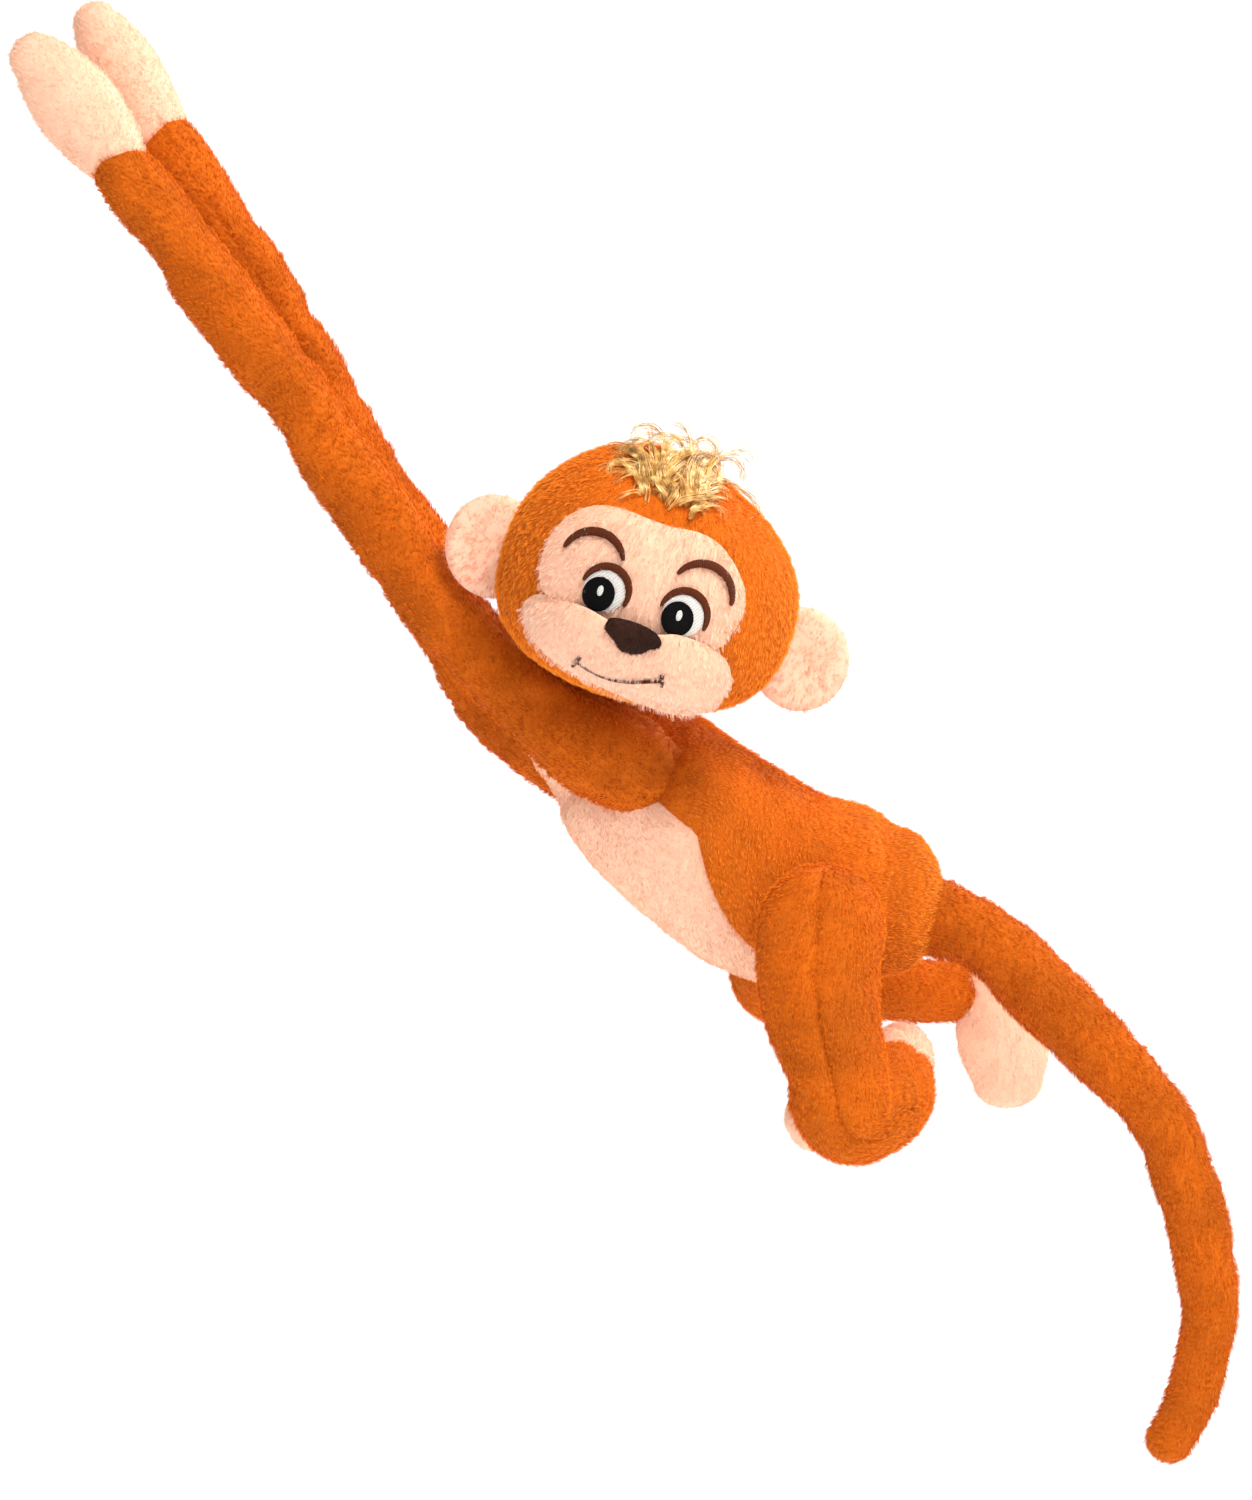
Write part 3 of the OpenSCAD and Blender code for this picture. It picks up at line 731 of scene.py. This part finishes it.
def torso():
    """The orange torso with its peach belly panel set between two seams."""
    spine = Spine(rows_at("tail_root_bend", (-162, 0, 89, 24, 25), (-151, 0, 79, 29.5, 29),
                          (-140, 0, 67, 34.5, 33), (-118, 0, 48, 37.5, 36), (-88, 0, 29, 39.5, 36),
                          (-57, 0, 24, 36, 33), (-42, 0, 23, 29, 28)))
    around = 80
    last = len(spine.rows) - 1

    def swell(i, a, p):
        """The left side stands out beside the shoulder."""
        near = bell(i / last - 0.30, 0.2)
        side = max(0.0, -sin(a)) ** 2
        return 9 * MM * near * side

    def belly_seam(i, a, p):
        f = i / last
        gap = degrees(a) - belly_edge(f)
        return -1.2 * MM * bell(gap, 3.5) if f < 0.85 else 0.0

    def turn(i, k):
        """Angles spaced so that the belly's two seams fall on edges of the mesh."""
        edge = belly_edge(i / last)
        if k < BELLY_COUNT:
            return radians(175 + (edge - 175) * k / BELLY_COUNT)
        return radians(edge + (535 - edge) * (k - BELLY_COUNT) / (around - BELLY_COUNT))

    above_hip = PIVOT["left_hip"] + Vector((0.02, 0.02, 0.04))
    shape = together(swell, belly_seam, creases(above_hip, 0.03, 1.8 * MM, 2.5),
                     star(off("left_shoulder", 18, 8, -6), 0.024, 1.2 * MM, 7))
    verts, faces, uvs = tube(spine, 0, last, (20 * MM, 20 * MM), around, shape, turn=turn)
    rings = (len(verts) - 2) // around
    whole = piece("torso_whole", verts, faces, ORANGE_CLOTH, uvs=uvs)

    def finish(whole):
        """Splits the filled torso into its orange skin and its peach belly."""
        stop = around * (rings - RUMP_RINGS)
        belly = [n < stop and n % around < BELLY_COUNT for n in range(len(faces))]
        places = [v.co.copy() for v in whole.data.vertices]
        for name, cloth, nodes in (("torso_pile", "orange", ("torso_skin", "torso_stuffing")),
                                   ("belly_pile", "peach", ("belly_panel",))):
            ground, hair, amount = FABRICS[cloth]
            chosen = [face for face, is_belly in zip(faces, belly) if is_belly == (cloth == "peach")]
            used = sorted({v for face in chosen for v in face})
            index = {v: i for i, v in enumerate(used)}
            obj = piece(name, [places[v] for v in used], [tuple(index[v] for v in face) for face in chosen],
                        ground, "torso", [uvs[v] for v in used])
            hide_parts(*nodes)
            dress(obj, hair, **amount)
        bpy.data.objects.remove(whole)

    pinned = [ring * around + k for ring in range(rings - RUMP_RINGS) for k in (0, BELLY_COUNT)]
    PADS.append((whole, pinned, 3 * MM, finish))


def nape():
    """The gathered fabric between the torso and the head."""
    spine = Spine(rows_at("neck_turn", (-12, 16, -34, 16, 18), (-7, 2, -16, 14, 15.5), (-1, -18, -1, 16, 17),
                          (7, -40, 8, 21, 21)))
    pivot = PIVOT["neck_turn"]
    sleeve("nape_sleeve", spine, 0, len(spine.rows) - 1, (8 * MM, 8 * MM), "orange",
           ("nape",),
           creases(pivot, 0.05, 1.2 * MM, 2.0))


def surface(obj):
    """A piece's mesh, ready to be asked for its nearest point."""
    mesh = obj.data
    return BVHTree.FromPolygons([v.co for v in mesh.vertices], [tuple(p.vertices) for p in mesh.polygons])


def palm_patch(side):
    """A thin round patch of gripping fabric that follows the palm."""
    node = f"{side}_palm_patch"
    low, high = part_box(node)
    cloth = surface(bpy.data.objects[f"{side}_hand"])
    spot, normal, _, _ = cloth.find_nearest((low + high) / 2)
    across = normal.cross(UP).normalized()
    along = across.cross(normal)
    radius, rings, around = max(high - low) / 2, 8, 40
    verts, uvs = [], []
    for i in range(rings + 1):
        f = i / rings
        for k in range(around):
            a = 2 * pi * k / around
            place, out, _, _ = cloth.find_nearest(spot + (across * cos(a) + along * sin(a)) * radius * f)
            verts.append(place + out * (0.7 * (1 - f ** 8) - 0.2) * MM)
            uvs.append((cos(a) * f, sin(a) * f))
    faces = [(a + k, b + k, b + (k + 1) % around, a + (k + 1) % around)
             for a, b in ((i * around, (i + 1) * around) for i in range(rings)) for k in range(around)]
    obj = piece(f"{side}_palm_disc", verts, faces, PEACH_CLOTH, f"{side}_hand", uvs)
    outward(obj)
    if sum((p.normal.dot(normal) for p in obj.data.polygons)) < 0:
        obj.data.flip_normals()
    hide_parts(node)
    dress(obj, PEACH_HAIR, **PALM_PILE)


def closing_stitches():
    """The closing seam's stitches, lifted from the model's skin onto the filled fabric."""
    skin, cloth = surface(NODES["torso_skin"]), surface(bpy.data.objects["torso_pile"])
    seam_mesh = NODES["closing_seam"].data
    verts, uvs = [], []
    for v in seam_mesh.vertices:
        root, out, _, _ = skin.find_nearest(v.co)
        place, away, _, _ = cloth.find_nearest(root)
        verts.append(place + away * ((v.co - root).dot(out) + 1.3 * MM))
        uvs.append((v.co.x / MM, v.co.z / MM))
    faces = [tuple(p.vertices) for p in seam_mesh.polygons]
    obj = piece("closing_stitches", verts, faces, BROWN_THREAD, "torso", uvs)
    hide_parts("closing_seam")


# -------- head and face

HEAD_LOW, HEAD_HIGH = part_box("head_skin")
HEAD_C = (HEAD_LOW + HEAD_HIGH) / 2
HEAD_R = (HEAD_HIGH - HEAD_LOW).x / 2
EAR_WAY = (sum(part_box("right_ear"), Vector()) - sum(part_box("left_ear"), Vector())) / 2
TILT = -atan2(EAR_WAY.z, EAR_WAY.x) - radians(2.4)
HEAD_WIDE, HEAD_DEEP, HEAD_TALL, CHIN_TALL = 1.035, 1.0, 0.975, 0.80
CHIN_POWER = 2.6     # above 2 the lower half of the head is squarer, with full cheeks
TO_WORLD = Matrix.Translation(HEAD_C) @ Matrix.Rotation(TILT, 4, "Y")


def crown(x, z, rho):
    """How much the head is flattened towards its crown, under the tuft; rho is 1 at the outline."""
    gap = (degrees(atan2(z, x)) - 62 + 180) % 360 - 180
    return 1 - 0.13 * bell(gap, 34) * rho ** 2


def cheek(x, z):
    """How far the head's front surface stands out (towards -Y) at x, z in mm in the head's frame."""
    r, flat = HEAD_R / MM, 1.0
    for _ in range(3):
        flat = crown(x, z, min(1.0, hypot(x, z) / r / flat))
    x, z = x / flat, z / flat
    tall, power = (HEAD_TALL, 2) if z > 0 else (CHIN_TALL, CHIN_POWER)
    level = max(0.0, 1 - (abs(z) / (r * tall)) ** power) ** (1 / power)
    return r * HEAD_DEEP * sqrt(max(0.0, level ** 2 - (x / (r * HEAD_WIDE)) ** 2))


def head():
    around, up = 96, 64
    r = HEAD_R
    verts, uvs = [], []
    for i in range(1, up):
        lat = pi * i / up - pi / 2
        for k in range(around):
            a = 2 * pi * k / around
            tall, power = (HEAD_TALL, 1) if lat > 0 else (CHIN_TALL, 2 / CHIN_POWER)
            level, height = cos(lat) ** power, copysign(abs(sin(lat)) ** power, lat)
            p = Vector((level * cos(a) * HEAD_WIDE, level * sin(a) * HEAD_DEEP, height * tall)) * r
            flat = crown(p.x, p.z, hypot(p.x, p.z) / r)
            p += p.normalized() * (lumps(p, 0.03, 0.8 * MM) + lumps(p, 0.01, 0.25 * MM))
            verts.append(TO_WORLD @ Vector((p.x * flat, p.y, p.z * flat)))
            uvs.append((k / around, -i / up))
    rings = up - 1
    faces = bands(rings, around)
    for ring, z in ((0, -1), (rings - 1, 1)):
        verts.append(TO_WORLD @ Vector((0, 0, z * r * (HEAD_TALL * crown(0, 1, 1) if z > 0 else CHIN_TALL))))
        uvs.append((0.5, -(z + 1) / 2))
        faces += fan(len(verts) - 1, ring, around, z < 0)
    obj = piece("head", verts, faces, ORANGE_CLOTH, "head", uvs)
    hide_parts("head_skin", "head_stuffing")
    dress(obj, ORANGE_HAIR, **PILE)


def outline(points, closed=True, steps=8):
    """A smooth line through given (x, z) points, in mm."""
    pts = [Vector(p) for p in points]
    n = len(pts)
    line = []
    for i in range(n if closed else n - 1):
        four = [pts[m % n if closed else min(max(m, 0), n - 1)] for m in (i - 1, i, i + 1, i + 2)]
        line += [catmull(four, k / steps) for k in range(steps)]
    return line if closed else line + [pts[-1]]


def panel(name, points, base, rise, material, rings=14, power=2.0, under=None):
    """A padded panel on the face: inside a closed outline, resting base mm above under(x, z),
    rising to rise mm in the middle and tucked in along its edge."""
    under = under or cheek
    line = outline(points)
    centre = sum(line, Vector((0, 0))) / len(line)
    n = len(line)
    verts, uvs = [], []
    for r in range(rings + 1):
        f = 1 - r / rings
        for p in line:
            q = centre.lerp(p, f ** 0.8)
            lift = rise * (1 - (f ** power)) ** 0.6
            y = under(q.x, q.y) + base + lift
            verts.append(TO_WORLD @ (Vector((q.x, -y, q.y)) * MM))
            uvs.append((q.x, q.y))
    obj = piece(name, verts, bands(rings + 1, n, inward=True), material, "head", uvs)
    outward(obj)
    return obj


FACE_PATCH = [(-33, -17), (-39.5, -11), (-41, -2), (-39.5, 7), (-35, 15), (-27, 20.5), (-17.5, 22),
              (-8, 21), (2, 20.5), (12, 21.5), (21, 19.5), (29, 13.5), (35, 5.5), (36.5, -3), (34, -11.5),
              (29, -18), (0, -23)]
MUZZLE = [(-33, -16.5), (-39.5, -17.5), (-42.5, -22), (-40, -29), (-31, -36.5), (-18, -41), (-4, -43.5),
          (10, -45), (23, -45), (32, -42), (38, -35), (39.5, -27.5), (36, -21), (28, -17.5), (16, -17),
          (9, -19), (0, -20.5), (-9, -19.5), (-20, -17)]
NOSE = [(-10.8, -20.6), (-9.6, -18.2), (-4.5, -17.3), (2, -17.5), (7.5, -18.8), (10.4, -21.2), (10.4, -23.8),
        (7.2, -25.4), (5.2, -27.4), (1, -28.9), (-3.2, -28.5), (-5.6, -26.4), (-8.6, -24.4), (-10.8, -22.6)]
MOUTH = [(-17.5, -37.2), (-12, -38.9), (-5.3, -39.8), (1, -39.2), (7, -37.6), (14.9, -35.0)]


def muzzle_front(x, z):
    """Front of the padded muzzle over the head, in mm: fullest at the two cheeks."""
    body = max(0.0, 1 - abs((x + 1.5) / 42) ** 3.2 - abs((z + 31) / 16) ** 2.4) ** 0.55
    cheeks = sum(exp(-((x - cx) / 13) ** 2 - ((z + 29) / 11) ** 2) for cx in (-26, 24))
    return cheek(x, max(z, -42)) + 1.2 + 8.0 * body + 2.2 * cheeks * body


def arc(centre, radius_x, radius_z, start, end, thick, steps=26, turn=0.0, taper=0.35):
    """Outline of a tapering curved stroke round a centre, in mm; angles in degrees."""
    outer, inner = [], []
    c, s = cos(radians(turn)), sin(radians(turn))
    for i in range(steps + 1):
        f = i / steps
        a = radians(start + (end - start) * f)
        half = thick * (taper + (1 - taper) * sin(pi * f) ** 0.6) / 2
        for line, k in ((outer, 1), (inner, -1)):
            x, z = (radius_x + k * half) * cos(a), (radius_z + k * half) * sin(a)
            line.append((centre[0] + x * c - z * s, centre[1] + x * s + z * c))
    return outer, inner


def stroke(name, outer, inner):
    """A raised brown satin-stitched stroke between two edges on the face."""
    across = 6
    verts, uvs, faces = [], [], []
    n = len(outer)
    rng = random.Random(len(name))
    for i in range(n):
        fray = rng.uniform(-0.12, 0.12)
        for k in range(across + 1):
            f = k / across * (1 + 2 * fray * 0.1) + fray * 0.05
            x = outer[i][0] + (inner[i][0] - outer[i][0]) * f
            z = outer[i][1] + (inner[i][1] - outer[i][1]) * f
            lift = 1.0 * max(0.0, sin(pi * k / across)) ** 0.6
            verts.append(TO_WORLD @ (Vector((x, -(cheek(x, z) + 3.2 + lift), z)) * MM))
            uvs.append((i * 0.9, f))
    w = across + 1
    for i in range(n - 1):
        for k in range(across):
            faces.append((i * w + k, i * w + k + 1, (i + 1) * w + k + 1, (i + 1) * w + k))
    obj = piece(name, verts, faces, BROWN_THREAD, "head", uvs)
    outward(obj)
    return obj


def outward(obj):
    """Welds touching vertices and turns every face outwards."""
    bm = bmesh.new()
    bm.from_mesh(obj.data)
    bmesh.ops.remove_doubles(bm, verts=bm.verts, dist=1e-6)
    bmesh.ops.recalc_face_normals(bm, faces=bm.faces)
    bm.to_mesh(obj.data)
    bm.free()


def oval(cx, cz, rx, rz, count=12):
    return [(cx + rx * cos(2 * pi * i / count), cz + rz * sin(2 * pi * i / count))
            for i in range(count)]


def eye(side, x, z, lid_turn):
    """White, pupil and glint in flat stitches under a thick brown lid line."""
    for name, node, shape, base, rise, material, slot, rings in (
            ("eye_white", "eye_white", (x + 0.6, z, 7.9, 8.0), 2.9, 0.6, WHITE_THREAD, "white_thread", 6),
            ("pupil", "pupil", (x - 1.2, z - 2.1, 6.0, 6.4), 4.0, 0.6, BLACK_THREAD, "black_thread", 6),
            ("glint", "eye_glint", (x - 0.9, z - 0.8, 1.1, 2.0), 4.8, 0.4, WHITE_THREAD, "white_thread", 4)):
        stitched = panel(f"{side}_{name}_stitched", oval(*shape), base, rise, material, rings)
        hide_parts(f"{side}_{node}")
    lid = stroke(f"{side}_lid_stitched", *arc((x + 0.6, z - 0.6), 8.9, 9.4, 176, -14, 3.1, turn=lid_turn))
    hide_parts(f"{side}_eyelid")


def face():
    patch = panel("face_patch_pile", FACE_PATCH, 0.6, 1.2, PEACH_CLOTH, power=8)
    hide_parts("face_patch")
    dress(patch, FACE_HAIR, **FACE_PILE)
    muzzle = panel("muzzle_pile", MUZZLE, -0.6, 0.6, PEACH_CLOTH, 26, 8, muzzle_front)
    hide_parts("muzzle")
    dress(muzzle, FACE_HAIR, **FACE_PILE)
    eye("left", -15.4, -9.0, -8)
    eye("right", 14.9, -9.4, -4)
    for side, centre, radius, start, end, turn in (("left", (-22.5, -0.4), (11.6, 11.4), 172, 22, -4),
                                                   ("right", (19.6, -0.6), (11.6, 11.6), 160, 2, -4)):
        brow = stroke(f"{side}_brow_stitched", *arc(centre, *radius, start, end, 3.4, turn=turn))
        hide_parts(f"{side}_brow")

    def front(x, z):
        return max(cheek(x, z) + 2.0, muzzle_front(x, z) + 0.4)

    nose = panel("nose_applique", NOSE, 0.9, 2.0, NOSE_CLOTH, 10, 4, front)
    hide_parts("nose")
    dress(nose, NOSE_HAIR, **NOSE_PILE)
    mouth()


def mouth():
    """Back stitches in a smile, sinking into the pile on one side, with a knot at each end."""
    line = outline(MOUTH, False, 6)
    lines = []
    for i in range(0, len(line) - 3, 3):
        few = line[i:i + 4]
        sunk = 0.9 * max(0.0, -few[0].x / 17.5)
        lines.append([(Vector((q.x, -(muzzle_front(q.x, q.y) + 1.9 + height - sunk), q.y)),
                       0.75 + 0.5 * min(1.0, max(0.0, (q.x + 4) / 8)))
                      for q, height in zip(few, (-0.4, 0.6, 0.6, -0.4))])
    for end, lean in ((line[0], 0.5), (line[-1], -0.3)):
        knot = [(end.x + lean * dz, end.y + dz) for dz in (-1.6, 0, 1.8)]
        lines.append([(Vector((x, -(muzzle_front(x, z) + 2.2), z)), 1.3) for x, z in knot])
    fibres("mouth_thread", 0.55, 3, lines, BROWN_THREAD, "mouth")


def fibres(name, thick, smooth, lines, material, stands_for):
    """Round threads on the head; a line is a list of (place in mm in the head's frame, relative thickness)."""
    data = bpy.data.curves.new(name, "CURVE")
    data.dimensions = "3D"
    data.bevel_depth = thick * MM
    data.bevel_resolution = smooth
    for line in lines:
        spline = data.splines.new("POLY")
        spline.points.add(len(line) - 1)
        for point, (place, radius) in zip(spline.points, line):
            point.co = (*(TO_WORLD @ (place * MM)), 1)
            point.radius = radius
    data.materials.append(material)
    obj = linked(name, data)
    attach(obj, "head")
    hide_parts(stands_for)


def ears():
    """Two flat stuffed discs, dished in front and gathered where they are sewn to the head."""
    for side, dx, dz in (("left", 3.4, -3.4), ("right", -3.6, -3.4)):
        node = f"{side}_ear"
        low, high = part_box(node)
        centre = (low + high) / 2 + Vector((dx, 0, dz)) * MM
        r, half = (high - low).x / 2 * 1.06, (high - low).y / 2
        root = radians(0 if side == "left" else 180) + (radians(-15) if side == "left" else 0)
        around, rings = 60, 14
        verts, uvs = [], []
        for front in (-1, 1):
            for i in range(rings + 1):
                f = i / rings
                rim = (1 - f ** 4) ** 0.5
                dish = 0.5 * bell(f, 0.6) if front < 0 else 0.0
                for k in range(around):
                    a = 2 * pi * k / around
                    gap = apart(a, root)
                    gather = 0.8 * sin(a * 16) * bell(gap, 0.7) * f ** 3 * MM
                    p = Vector((cos(a) * r * f, front * half * 0.95 * (rim - dish) + gather,
                                sin(a) * r * f * 1.06))
                    verts.append(centre + p + Vector((0, lumps(p, 0.012, 0.6 * MM), 0)))
                    uvs.append((k / around, f))
        faces = bands(rings + 1, around)
        faces += [quad[::-1] for quad in bands(rings + 1, around, base=(rings + 1) * around)]
        obj = piece(f"{side}_ear_stuffed", verts, faces, PEACH_CLOTH, None, uvs)
        outward(obj)
        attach(obj, node)
        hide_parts(node)
        # Painted shade with orange bounce light: the pile darker and rosier at the edge opposite the way, fading
        # across the ear.
        way = Vector((0.45, 0, 0.89)) if side == "left" else Vector((0.94, 0, 0.34))
        painted_shade = (centre - way * r, way, 1.9 * r)
        hair = pile_hair(f"{side}_ear_pile", shade(PEACH, 0.9), PEACH, (0.97, 0.70, 0.54), painted_shade)
        dress(obj, hair, **SOFT_PILE)


TUFT_LOCKS = 96
TUFT_STEPS = 22      # straight steps along a fibre


def tuft():
    """Golden fibre sewn in a V on the brow: it fans up and outwards and curls over at the ends."""
    rng = random.Random(SEED)
    lines = []
    for n in range(TUFT_LOCKS):
        f, side = rng.random() ** 0.8, rng.uniform(-1, 1)
        x = -0.5 - 2 * f + side * (8 + 8 * f)
        z = 26.5 + 13.5 * f - 3 * abs(side) * f + rng.uniform(-1.5, 1.5)
        loop = n % 6 == 0          # bold locks that stand up and curl over
        if loop:
            x, z = rng.uniform(-10, 10), rng.uniform(35, 42)
        heading = atan2(z - 6, x - 2) + rng.uniform(-0.6, 0.6)
        curl = copysign(rng.uniform(2.6, 4.2) if loop else rng.uniform(0.9, 2.9), rng.uniform(-1, 1) - side)
        slow, wave = rng.uniform(1.4, 2.6), rng.uniform(-0.6, 0.6)
        shorter = (1.1 - 0.3 * abs(side)) * (0.65 + 0.4 * f)
        length = rng.uniform(25, 32) if loop else rng.uniform(12, 22) * shorter
        stand = rng.uniform(1.0, 6.5)
        for strand in range(11 if loop else rng.choice((6, 10, 14))):
            own_curl, own_length = curl * rng.uniform(0.93, 1.07), length * rng.uniform(0.85, 1.05)
            q = Vector((x + rng.uniform(-1.0, 1.0), 0, z + rng.uniform(-1.0, 1.0)))
            lift, own_heading = stand * rng.uniform(0.8, 1.2), heading + rng.uniform(-0.06, 0.06)
            line = []
            for i in range(TUFT_STEPS + 1):
                t = i / TUFT_STEPS
                turn = own_heading + own_curl * t ** slow + wave * sin(5 * t)
                q += Vector((cos(turn), 0, sin(turn))) * (own_length / TUFT_STEPS)
                front = cheek(q.x, q.z) if q.z < 44 else cheek(q.x, 44) * max(0.0, 1 - (q.z - 44) / 20)
                height = front + 0.4 + lift * sin(pi * min(1.0, t * 1.1)) ** 0.7
                line.append((Vector((q.x, -height, q.z)), 1.0 - 0.5 * t))
            lines.append(line)
    fibres("tuft_fibre", 0.15, 1, lines, GOLD_FIBRE, "hair_tuft")


# -------- everything together

studio()
torso()
nape()
for limb_side in ("left", "right"):
    arm(limb_side)
    leg(limb_side)
tail()
fill_pads()
head()
face()
ears()
tuft()
for hand_side in ("left", "right"):
    palm_patch(hand_side)
closing_stitches()
